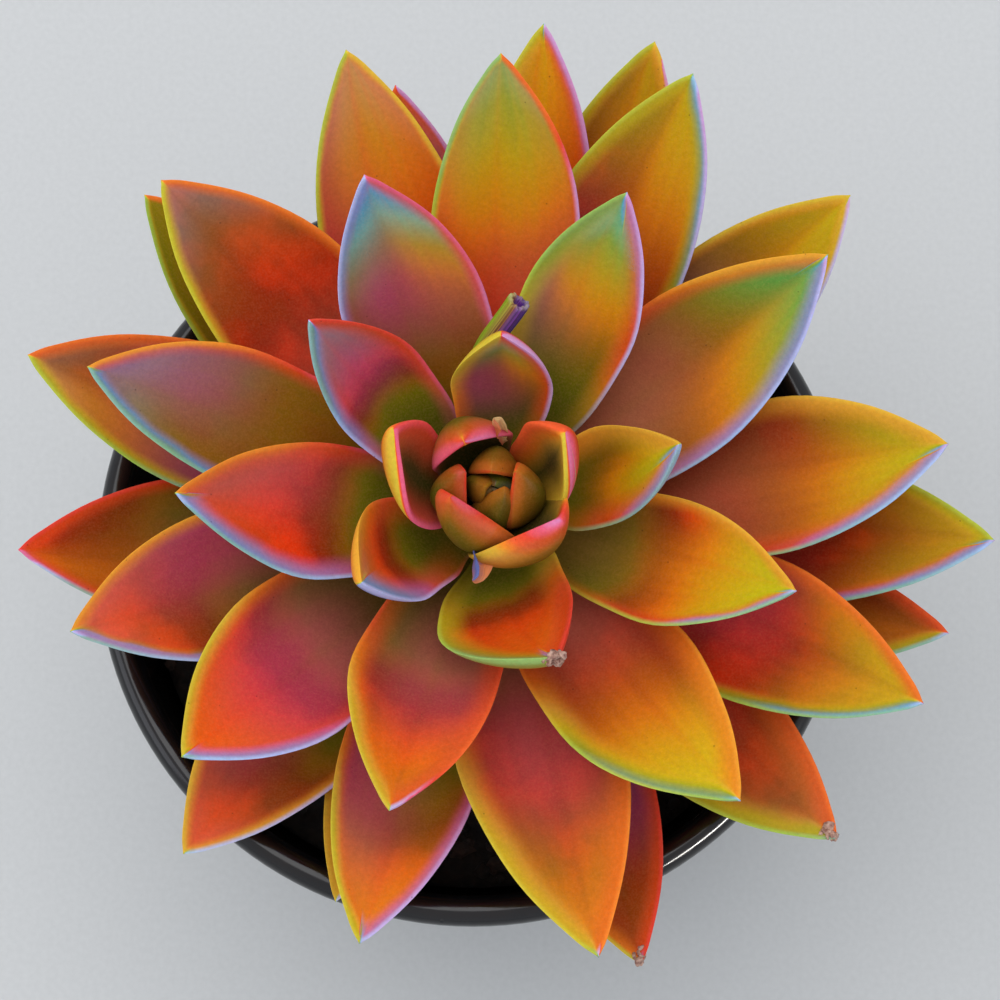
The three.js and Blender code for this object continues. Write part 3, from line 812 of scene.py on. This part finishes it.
# %% [markdown]
# ## Rings that grow into a solid
# The pot, the soil, the stem and the cut stalk are all round, so each could be spun from a profile.
# They are pulled up here from a filled disc instead, ring by ring: extrude, then resize. A row
# gives a ring's radius and height in millimetres, and the last ring closes on its centre.

# %% Pull up a round solid
def pull_rings(rings, sides, levels):
    deselect()
    radius, height = rings[0]
    bpy.ops.mesh.primitive_circle_add(
        vertices=sides, radius=radius * MM, fill_type="NGON", location=(0, 0, height * MM)
    )
    piece = bpy.context.object
    bpy.ops.object.transform_apply(location=True, rotation=True, scale=True)
    bpy.ops.object.mode_set(mode="EDIT")
    bpy.ops.mesh.select_all(action="SELECT")
    for next_radius, next_height in rings[1:]:
        bpy.ops.mesh.extrude_region_move(
            TRANSFORM_OT_translate={"value": (0, 0, (next_height - height) * MM)}
        )
        if next_radius == 0:
            bpy.ops.mesh.merge(type="CENTER")
            break
        grow = next_radius / radius
        bpy.ops.transform.resize(
            value=(grow, grow, 1), center_override=(0, 0, next_height * MM)
        )
        radius, height = next_radius, next_height
    bpy.ops.mesh.select_all(action="SELECT")
    bpy.ops.mesh.normals_make_consistent(inside=False)
    subdivide_smoothly(piece, levels)
    return piece


# %% [markdown]
# ## The pot
# A round pot of glazed stoneware, 12 cm across its rounded lip, with a foot ring that was wiped
# clean of glaze before firing. Rings close together hold an edge when the surface is rounded, so
# the foot and the lip have several.

# %% Pot
POT_HEIGHT, POT_RIM_RADIUS, POT_FOOT_RADIUS = 100, 60, 43
POT_NECK, POT_NECK_RADIUS, POT_WALL = 90, 58.6, 3.8
LIP_THICKNESS, LIP_RISE, LIP_STEPS = 5, 3, 8
POT_FLOOR = 6
FOOT_RECESS, FOOT_RING = 1.4, 5


def outer_radius(height):
    return lerp(POT_FOOT_RADIUS, POT_NECK_RADIUS, height / POT_NECK)


def inner_radius(height):
    return outer_radius(height) - POT_WALL


recess = POT_FOOT_RADIUS - 1.5 - FOOT_RING
pot_rings = [(recess * 0.5, FOOT_RECESS), (recess - 1, FOOT_RECESS)]
pot_rings += [(recess - 0.4, FOOT_RECESS * 0.9), (recess, 0.2), (recess + 0.3, 0)]
pot_rings += [(POT_FOOT_RADIUS - 1.8, 0), (POT_FOOT_RADIUS - 0.6, 0.3)]
pot_rings += [(outer_radius(h), h) for h in (1.5, 4, 12, 30, 50, 70, 82, POT_NECK - 0.6)]
lip_middle = POT_RIM_RADIUS - LIP_THICKNESS / 2
for k in range(LIP_STEPS + 1):
    turn = math.pi * k / LIP_STEPS
    pot_rings.append((
        lip_middle + LIP_THICKNESS / 2 * math.cos(turn),
        POT_HEIGHT - LIP_RISE + LIP_RISE * math.sin(turn),
    ))
pot_rings += [(inner_radius(h), h) for h in (POT_NECK, 80, 50, 20, POT_FLOOR + 3)]
pot_rings += [(inner_radius(POT_FLOOR) - 3, POT_FLOOR), (12, POT_FLOOR), (0, POT_FLOOR)]
pot = pull_rings(pot_rings, 72, 1)
print("pot:", len(pot.data.polygons), "faces")

# %% [markdown]
# ## Black glaze
# The finish is a glossy black stoneware glaze, fired at about 1250 degrees. It is glass, so its
# IOR is about 1.5 and its roughness low. Real glaze pools and thins: it waves a little, about
# 12 mm across, it goes brown where it runs thin on the lip, and it holds a few pinholes. The foot
# ring shows bare brown clay.

# %% Glaze material
def make_glaze():
    material, tree = new_material("black_stoneware_glaze")
    here = object_place(tree)
    height = (add_node(tree, "SeparateXYZ", {0: here}), 2)
    wave = blotches(tree, here, 12, 2.0)
    fine = blotches(tree, here, 1.5, 3.0)
    pits = add_node(tree, "TexVoronoi", {"Vector": here, "Scale": 1 / (7 * MM)})
    pit = remap(tree, pits, (0.03, 0.06), (1.0, 0.0))
    body = mix_colour(tree, wave, linear("#08080a"), linear("#121216"))
    thin = remap(tree, height, (98.6 * MM, 100.2 * MM), (0.0, 0.25), "SMOOTHSTEP")
    body = mix_colour(tree, multiply(tree, thin, wave), body, linear("#4a3524"))
    clay = mix_colour(tree, fine, linear("#6e4c36"), linear("#8a6446"))
    bare = remap(tree, height, (0.7 * MM, 1.1 * MM), (1.0, 0.0))
    body = mix_colour(tree, bare, body, clay)
    shine = remap(tree, fine, (0.3, 0.7), (0.1, 0.2))
    rough = maths(tree, "MULTIPLY_ADD", bare, 0.6, shine)
    relief = maths(tree, "MULTIPLY_ADD", pit, -0.5, wave)
    bump = add_node(tree, "Bump", {"Strength": 0.3, "Distance": 0.4 * MM, "Height": relief})
    return give_surface(material, {
        "Base Color": body, "Roughness": rough, "IOR": 1.52, "Normal": bump,
        "Specular IOR Level": 0.4,
    })


place(pot, "glazed_pot", make_glaze(), "glaze", "pot")

# %% [markdown]
# ## Potting mix
# The pot is filled with a dark mix of peat, bark and a little perlite. Its bulk is one solid with
# a lumpy top. The bits that lie on it are one chip, modelled once and copied many times with
# another size and turn each, which costs few faces.

# %% Soil bulk
GAP = 0.35
SOIL_LEVEL, SOIL_DOME = 84, 2.5
SOIL_LUMP = 1.1
soil_edge = inner_radius(SOIL_LEVEL) - GAP
soil_rings = [(inner_radius(POT_FLOOR) - 3 - GAP, POT_FLOOR + GAP)]
soil_heights = (POT_FLOOR + 3 + GAP, 30, 55, 75, SOIL_LEVEL - 0.5)
soil_rings += [(inner_radius(h) - GAP, h) for h in soil_heights]
soil_rings += [
    (soil_edge * share, SOIL_LEVEL + SOIL_DOME * (1 - share * share))
    for share in (0.97, 0.9, 0.82, 0.74, 0.66, 0.58, 0.5, 0.42, 0.34, 0.26, 0.16, 0.06)
]
soil = pull_rings(soil_rings + [(0, SOIL_LEVEL + SOIL_DOME)], 64, 1)


def lump(x, y):
    """Height of the soil's lumps at a place in millimetres."""
    wide, fine = Vector((x / 7, y / 7, 3.1)), Vector((x / 2.6, y / 2.6, 8.4))
    return noise.noise(wide) + 0.5 * noise.noise(fine)


for vertex in soil.data.vertices:
    x, y, z = vertex.co / MM
    inside = min(1, max(0, (soil_edge - math.hypot(x, y)) / 5))
    if z > SOIL_LEVEL - 0.8:
        vertex.co.z += SOIL_LUMP * lump(x, y) * inside * MM


# %% Soil materials
def make_crumbly(name, dark, light, grain, roughness):
    material, tree = new_material(name)
    here = object_place(tree)
    grit = blotches(tree, here, grain, 5.0)
    cells = add_node(tree, "TexVoronoi", {"Vector": here, "Scale": 1 / (grain * 1.6 * MM)})
    tone = remap(tree, maths(tree, "ADD", grit, cells), (0.5, 1.3), (0.0, 1.0))
    colour = mix_colour(tree, tone, linear(dark), linear(light))
    bump = add_node(tree, "Bump", {"Strength": 0.8, "Distance": grain * 0.4 * MM, "Height": tone})
    return give_surface(material, {"Base Color": colour, "Roughness": roughness, "Normal": bump})


peat = make_crumbly("peat_and_bark_fines", "#080604", "#1c1510", 1.2, 0.95)
place(soil, "potting_mix", peat, "soil", "soil")
print("soil:", len(soil.data.polygons), "faces")


# %% Chips and grains on the soil
# Where the leaning stem comes out of the soil
STEM_AT_SOIL = (3.2, 3)


def model_chip():
    """A rough chip: a small ball flattened on two sides, with its top pressed in."""
    deselect()
    bpy.ops.mesh.primitive_ico_sphere_add(subdivisions=2, radius=1)
    chip = bpy.context.object
    select_vertices(chip, lambda co: co.z > 0.3)
    bpy.ops.transform.resize(value=(1, 1, 0.5), center_override=(0, 0, 0.3))
    select_vertices(chip, lambda co: co.x > 0.4)
    bpy.ops.transform.resize(value=(0.7, 1.2, 1), center_override=(0.4, 0, 0))
    bpy.ops.object.mode_set(mode="OBJECT")
    return chip


def pile_up(name, copies, material, slot):
    """One mesh of many chips, each given by its own points in metres."""
    count = len(chip.data.vertices)
    corners = [tuple(face.vertices) for face in chip.data.polygons]
    faces = [[k * count + i for i in face] for k in range(len(copies)) for face in corners]
    mesh = bpy.data.meshes.new(name)
    mesh.from_pydata([tuple(point) for copy in copies for point in copy], [], faces)
    return place(new_piece(name, mesh), name, material, slot)


def scatter(name, count, size, flatness, seed, material):
    """Chips that lie on the soil between the stem and the wall."""
    rng = random.Random(seed)
    shape = points_of(chip.data)
    copies = []
    while len(copies) < count:
        radius, angle = soil_edge * math.sqrt(rng.random()), rng.uniform(0, 2 * math.pi)
        x, y = radius * math.cos(angle), radius * math.sin(angle)
        grow = size * rng.uniform(0.5, 1.5)
        spin = np.array(Matrix.Rotation(rng.uniform(0, 6.28), 3, "Z"))
        tilt = np.array(Matrix.Rotation(rng.uniform(-0.5, 0.5), 3, "X"))
        jitter = 1 + 0.25 * np.array([[rng.uniform(-1, 1)] for _ in shape])
        off_stem = math.hypot(x - STEM_AT_SOIL[0], y - STEM_AT_SOIL[1])
        if radius > soil_edge - grow * 1.3 or off_stem < STEM_RADIUS + grow:
            continue
        bed = SOIL_LEVEL + SOIL_DOME * (1 - (radius / soil_edge) ** 2) + SOIL_LUMP * lump(x, y)
        lying = shape * jitter * grow * [1, rng.uniform(0.6, 1), flatness]
        copies.append((lying @ (spin @ tilt).T + [x, y, bed + 0.25 * grow * flatness]) * MM)
    pile = pile_up(name, copies, material, "soil").data
    pile.polygons.foreach_set("use_smooth", [False] * len(pile.polygons))


chip = model_chip()
bark = make_crumbly("composted_pine_bark", "#120b07", "#33231a", 0.8, 0.85)
perlite = make_crumbly("expanded_perlite", "#8f8c84", "#cfccc4", 0.5, 0.9)
scatter("peat_lumps", 420, 1.3, 0.8, 11, peat)
scatter("bark_chips", 240, 2.0, 0.35, 12, bark)
scatter("perlite_grains", 46, 0.9, 0.9, 13, perlite)

# %% [markdown]
# ## Stem
# The short stem is woody and ringed with the scars of leaves that have dropped. It is pulled up
# ring by ring, with a ridge at each scar, and its bark gets shallow folds from noise. It is
# modelled upright and then leant into the pot with the rest of the plant.

# %% Stem
STEM_ROOT = -34
SCAR_STEP = 3.2


STEM_SHAPE = np.array([
    (STEM_ROOT, STEM_RADIUS - 3), (STEM_ROOT + 16, STEM_RADIUS - 1.2),
    (OLDEST_BASE - LEAF_THICKNESS * 0.85, STEM_RADIUS), (21 - LEAF_THICKNESS * 0.85, STEM_RADIUS),
    (YOUNGEST_BASE - LEAF_THICKNESS * 0.85, STEM_TIP_RADIUS), (STEM_TOP, STEM_TIP_RADIUS - 0.4),
])


def stem_radius(height):
    return float(np.interp(height, *STEM_SHAPE.T))


stem_rings = [(STEM_RADIUS - 3.4, STEM_ROOT)]
for k in range(int((STEM_TOP - STEM_ROOT) / SCAR_STEP)):
    low = STEM_ROOT + 0.4 + k * SCAR_STEP
    stem_rings += [
        (stem_radius(low) - 0.5, low), (stem_radius(low) - 0.45, low + SCAR_STEP * 0.45),
        (stem_radius(low) - 0.02, low + SCAR_STEP * 0.7),
    ]
stem_rings += [(STEM_TIP_RADIUS - 0.5, STEM_TOP - 0.3), (1.5, STEM_TOP), (0, STEM_TOP)]
stem = pull_rings(stem_rings, 28, 1)
bark_points = points_of(stem.data) / MM
for point in bark_points:
    around = math.atan2(point[1], point[0])
    fold = noise.noise(Vector((math.cos(around) * 3, math.sin(around) * 3, point[2] * 0.35)))
    point[:2] *= 1 - 0.04 * (0.6 + fold)
set_points(stem.data, to_pot(bark_points))
stem_bark = make_crumbly("ringed_succulent_stem", "#4a3a20", "#8a7448", 1.5, 0.8)
place(stem, "stem_bark", stem_bark, "stem", "stem")

# %% [markdown]
# ## The cut flower stalk
# A stub of last season's flower stalk stands between the leaves, cut square: a fibrous tube with a
# ragged, pale cut. A straight tube is pulled up ring by ring, with its end pushed in, and is then
# bent along the stalk's own curve. Its fibres run lengthwise, and its skin is green on one side and
# purple on the other.

# %% Flower stalk
STALK_RADIUS = 1.75
STALK_PATH = np.array([(-2, 8, 34.3), (-2, 14, 36.6), (-1.8, 21, 40.6), (4, 28.8, 48)])
STALK_BORE = 1.1
FIBRES = 15
STALK_STOPS = [
    (0.2, "#86b414"), (0.4, "#c4a83c"), (0.52, "#9c5034"), (0.64, "#8c58a4"), (0.8, "#742c98"),
    (1.0, "#4c2c98"),
]


def smooth_path(points, t):
    """A smooth curve through all the points, t from 0 to 1, and its direction."""
    spans = len(points) - 1
    padded = np.vstack((2 * points[0] - points[1], points, 2 * points[-1] - points[-2]))
    k = np.clip((t * spans).astype(int), 0, spans - 1)
    u = (t * spans - k)[:, None]
    a, b, c, d = (padded[k + i] for i in range(4))
    square, cube = 2 * a - 5 * b + 4 * c - d, 3 * b - a - 3 * c + d
    at = 0.5 * (2 * b + (c - a) * u + square * u**2 + cube * u**3)
    return at, unit((c - a) + 2 * square * u + 3 * cube * u**2)


stalk_length = float(np.linalg.norm(np.diff(STALK_PATH, axis=0), axis=1).sum())
stalk_rings = [(STALK_RADIUS, share * stalk_length) for share in np.linspace(0, 0.97, 16)]
stalk_rings += [
    (STALK_RADIUS, stalk_length - 0.15), (STALK_RADIUS - 0.1, stalk_length),
    (STALK_BORE + 0.1, stalk_length), (STALK_BORE, stalk_length - 0.25),
    (STALK_BORE * 0.9, stalk_length - 1.6), (0, stalk_length - 1.7),
]
stalk = pull_rings(stalk_rings, 30, 1)
straight = points_of(stalk.data) / MM
around = np.arctan2(straight[:, 1], straight[:, 0])
ridges = 1 - 0.06 * (0.5 - 0.5 * np.cos(FIBRES * around))
ridges -= 0.02 * np.cos(7 * around + straight[:, 2])
straight[:, :2] *= ridges[:, None]
ragged = np.clip((straight[:, 2] - stalk_length + 0.5) / 0.5, 0, 1)
straight[:, 2] -= 0.35 * ragged * (1 + np.sin(5 * around) * np.cos(3 * around + 1))
middle, way = smooth_path(STALK_PATH, np.clip(straight[:, 2] / stalk_length, 0, 1))
across = unit(np.cross(way, [1, 0, 0]))
off_path = across * straight[:, 1:2] + np.cross(across, way) * straight[:, :1]
set_points(stalk.data, to_pot(middle + off_path))
put(stalk.data, "stalk_ways", (
    around / (2 * math.pi) + 0.5, straight[:, 2] / stalk_length,
    0.5 + 0.5 * np.clip(off_path[:, 0] / STALK_RADIUS, -1, 1),
))


def make_stalk_skin():
    material, tree = new_material("fibrous_flower_stalk")
    ways = read_points(tree, "stalk_ways")
    here = object_place(tree)
    along = add_node(tree, "CombineXYZ", {0: multiply(tree, (ways, 0), 40.0), 1: (ways, 1)})
    fibres = add_node(tree, "TexNoise", {"Vector": along, "Scale": 1.0, "Detail": 4.0})
    speckle = blotches(tree, here, 0.6, 2.0)
    side = maths(tree, "MULTIPLY_ADD", fibres, 0.35, (ways, 2))
    skin_tone = add_node(tree, "ValToRGB", {0: side}, stops=STALK_STOPS)
    dark = remap(tree, fibres, (0.4, 0.62), (0.0, 0.6))
    colour = mix_colour(tree, dark, skin_tone.outputs[0], linear("#2a2218"))
    cut = remap(tree, (ways, 1), (0.972, 0.992), (0.0, 0.8))
    colour = mix_colour(tree, multiply(tree, cut, speckle), colour, linear("#cdbd96"))
    bump = add_node(tree, "Bump", {"Strength": 0.6, "Distance": 0.2 * MM, "Height": fibres})
    return give_surface(material, {
        "Base Color": colour, "Roughness": 0.6, "Normal": bump, "Specular IOR Level": 0.3,
    })


place(stalk, "cut_flower_stalk", make_stalk_skin(), "stem", "flower_stalk_stub")
print("stalk:", len(stalk.data.polygons), "faces")

# %% [markdown]
# ## Dried scales and withered tips
# Two dried bracts of the flower stalk still stick in the heart, thin and twisted like paper. Three
# leaf tips have withered to a crust. The bracts are the leaf blank again, made thin and curled.
# A crust is a handful of the soil's chips, small and packed round the tip, since a withered tip is
# a tight crumple. A row gives the leaf, the crust's size, how far it stands out and its colour.

# %% Dried scales
DRY_SCALES = [
    ((1.8, 7.4, 50), (0.2, 10, 57.8), 1.9, 0.9, "#d86a30", "#f0c078"),
    ((-0.8, -4, 46), (-2.8, -12.6, 53.4), 3.2, -0.9, "#f08848", "#4a62a8"),
]
CRUMPLE, CRUMPLE_SIZE = 0.35 * MM, 1.4 * MM


def make_papery(name, low, high):
    material, tree = new_material(name)
    uv = add_node(tree, "UVMap", uv_map="UVMap")
    here = object_place(tree)
    ribs_at = add_node(tree, "Mapping", {0: uv, 3: (14, 1.5, 1)})
    ribs = add_node(tree, "TexNoise", {"Vector": ribs_at, "Scale": 1.0, "Detail": 4.0})
    blotch = blotches(tree, here, 1.4, 3.0)
    across_leaf = (add_node(tree, "SeparateXYZ", {0: uv}), 0)
    share = maths(tree, "MULTIPLY_ADD", blotch, 0.5, across_leaf)
    share = remap(tree, share, (0.4, 1.1), (0.0, 1.0))
    colour = mix_colour(tree, share, linear(low), linear(high))
    colour = mix_colour(tree, multiply(tree, ribs, 0.6), colour, linear("#6a3c1e"))
    bump = add_node(tree, "Bump", {"Strength": 0.7, "Distance": 0.2 * MM, "Height": ribs})
    return give_surface(material, {
        "Base Color": colour, "Roughness": 0.7, "Normal": bump, "Subsurface Weight": 0.1,
        "Subsurface Scale": 0.5 * MM, "Subsurface Radius": (1.0, 0.6, 0.3),
    })


for order, (root, end, width, curl, low, high) in enumerate(DRY_SCALES):
    root, end = np.array(root, float), np.array(end, float)
    side = unit(np.cross([0, 0, 1], end - root))
    plan = {
        "base": root, "bend": (root + end) / 2 + [0, 0, 1.2], "tip": end, "side": side,
        "width": width, "widest": 0.7, "cup": 0.5, "flat_base": False, "thickness": 0.7,
    }
    mesh = leaf_blank.data.copy()
    points = lay_leaf(plan, 500 + order)[0]
    middle = to_pot(np.outer(1 - ALONG, root) + np.outer(ALONG, end))
    axis = unit(to_pot(end[None])[0] - to_pot(root[None])[0])
    turn = curl * 2.2 * ALONG**2
    off = points - middle
    off = (
        off * np.cos(turn)[:, None] + np.cross(axis, off) * np.sin(turn)[:, None]
        + np.outer(off @ axis * (1 - np.cos(turn)), axis)
    )
    # Three plain noises, one an axis, because the vector noise differs from run to run
    crumple = [
        [noise.noise(Vector(p) / CRUMPLE_SIZE + Vector((shift, 0, 0))) for shift in (0, 31, 67)]
        for p in middle + off
    ]
    set_points(mesh, middle + off + np.array(crumple) * CRUMPLE)
    map_uv(mesh)
    name = f"dried_scale_{order + 1}"
    paper = make_papery(f"dried_bract_{order + 1}", low, high)
    place(new_piece(name, mesh), name, paper, "leaf", "heart")


# %% Withered tips
WITHERED = [(4, 3.6, 0.45, "#6a2f22"), (25, 2.8, 0.1, "#7a4636"), (30, 2.6, 0.1, "#7a4636")]
CRUST_CHIPS = 16


def wither(order, size, out, colour):
    """A tight pile of chips round a leaf's tip."""
    name = f"withered_tip_{order + 1:02d}"
    rng = random.Random(40 + order)
    plan = leaf_plan(order)
    tip, back = plan["tip"], unit(plan["bend"] - plan["tip"])
    shape = points_of(chip.data)
    copies = []
    for _ in range(CRUST_CHIPS):
        grow = size * rng.uniform(0.16, 0.34)
        along = rng.uniform(0.15 - out, 1.0 - out) * size
        spread = 0.12 * size + 0.2 * abs(along)
        at = tip + back * along + np.array([rng.uniform(-spread, spread) for _ in "xyz"])
        angle, axis = rng.uniform(0, 6.28), Vector((rng.random(), 1, rng.random()))
        spin = np.array(Matrix.Rotation(angle, 3, axis))
        jitter = 1 + 0.35 * np.array([[rng.uniform(-1, 1)] for _ in shape])
        copies.append(to_pot((shape * jitter * grow * [1, 0.8, 0.5]) @ spin.T + at))
    pile_up(name, copies, make_crumbly(f"{name}_crust", colour, "#d0a894", 0.5, 0.75), "leaf")


for row in WITHERED:
    wither(*row)
bpy.data.objects.remove(chip)

# %% [markdown]
# ## Floor, light and camera
# The floor is plain and pale. Daylight is soft and comes from above, so one wide panel hangs over
# the plant, a weaker one fills the left side, and a strip like a window gives the glaze its streak.
# The camera looks down at 78 degrees, as the pot's rim shows, through a lens of about 100 mm.

# %% Stage
def soft_panel(name, place_at, aim, size, watts, colour="#ffffff"):
    light = bpy.data.lights.new(name, "AREA")
    light.shape, (light.size, light.size_y) = "RECTANGLE", size
    light.energy, light.color = watts, linear(colour)[:3]
    lamp = bpy.data.objects.new(name, light)
    lamp.location = place_at
    lamp.rotation_euler = (Vector(aim) - Vector(place_at)).to_track_quat("-Z", "Y").to_euler()
    bpy.context.collection.objects.link(lamp)


deselect()
bpy.ops.mesh.primitive_plane_add(size=6, location=(0, 0, 0))
floor = bpy.context.object
floor.name = "floor"
pale, tree = new_material("pale_matte_floor")
dust = add_node(tree, "TexNoise", {"Scale": 900.0, "Vector": object_place(tree)})
shade = mix_colour(tree, dust, linear("#c9c8c6"), linear("#d3d2d0"))
floor.data.materials.append(give_surface(pale, {"Base Color": shade, "Roughness": 0.85}))

ROSETTE = (0.003, 0.004, 0.13)
soft_panel("sky_panel", (-0.15, 0.35, 1.35), ROSETTE, (1.1, 1.1), 7.6)
soft_panel("left_fill", (-1.1, -0.2, 0.7), ROSETTE, (0.8, 0.8), 2.6, "#f0f4ff")
soft_panel("window_strip", (0.85, -0.75, 0.62), ROSETTE, (0.5, 0.08), 14, "#fffaf4")
# The strip is there for the gloss of the glaze, and adds no light to the leaves
bpy.data.objects["window_strip"].visible_diffuse = False

world = bpy.data.worlds.new("soft_sky")
world.use_nodes = True
world.node_tree.nodes["Background"].inputs[0].default_value = linear("#dfe6ee")
world.node_tree.nodes["Background"].inputs[1].default_value = 0.9
bpy.context.scene.world = world

TILT = math.radians(12)
AIM = Vector((0.0042, 0.0077, 0.097))
DISTANCE, SENSOR, ZOOM = 0.45, 36, 2.82
camera_data = bpy.data.cameras.new("camera")
camera_data.sensor_width, camera_data.lens = SENSOR, SENSOR * ZOOM
camera = bpy.data.objects.new("camera", camera_data)
camera.location = AIM + Vector((0, -math.sin(TILT), math.cos(TILT))) * DISTANCE
camera.rotation_euler = (TILT, 0, 0)
bpy.context.collection.objects.link(camera)
scene = bpy.context.scene
scene.camera = camera
scene.view_settings.view_transform = "Standard"
bpy.data.objects.remove(leaf_blank)
